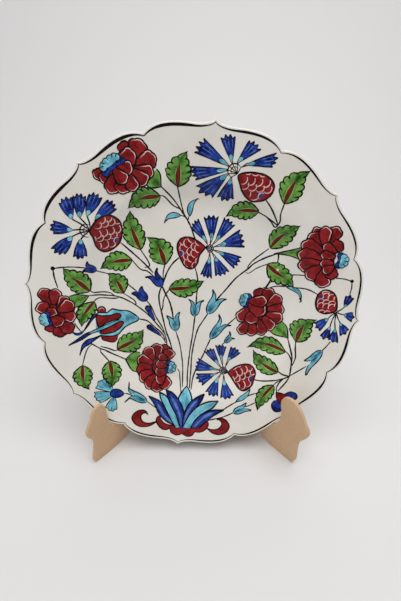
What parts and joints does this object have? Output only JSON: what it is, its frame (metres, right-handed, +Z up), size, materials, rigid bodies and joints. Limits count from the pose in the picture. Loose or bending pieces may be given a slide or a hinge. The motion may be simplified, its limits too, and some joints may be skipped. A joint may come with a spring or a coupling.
{
  "type": "painted ceramic plate on stand",
  "caption": "Round lobed-rim ceramic display plate with a hand-painted flower design, leaning on a two-board wooden stand that comes apart.",
  "frame": {"origin": "on the table, under the centre of the whole object's box", "axes": "+Z up, the painted face looks towards -Y and leans back towards +Y, +X to the viewer's right"},
  "size_m": [0.298, 0.1536, 0.298],
  "materials": {
    "glazed_ceramic": "white glaze with glossy underglaze painting",
    "stand_wood": "raw fibreboard, sawn edges"
  },
  "bodies": {
    "stand_left": {"stand_board_left": "stand_wood"},
    "stand_right": {"stand_board_right": "stand_wood"},
    "plate_body": {"plate": "glazed_ceramic"}
  },
  "joints": [
    {"name": "plate_lift", "type": "slide", "parent": "stand_left", "child": "plate_body", "axis": [0, 0.2419, 0.9703], "range_m": [0, 0.05]},
    {"name": "board_slide", "type": "slide", "parent": "stand_left", "child": "stand_right", "axis": [0, 0, 1], "range_m": [-0.036, 0]}
  ]
}
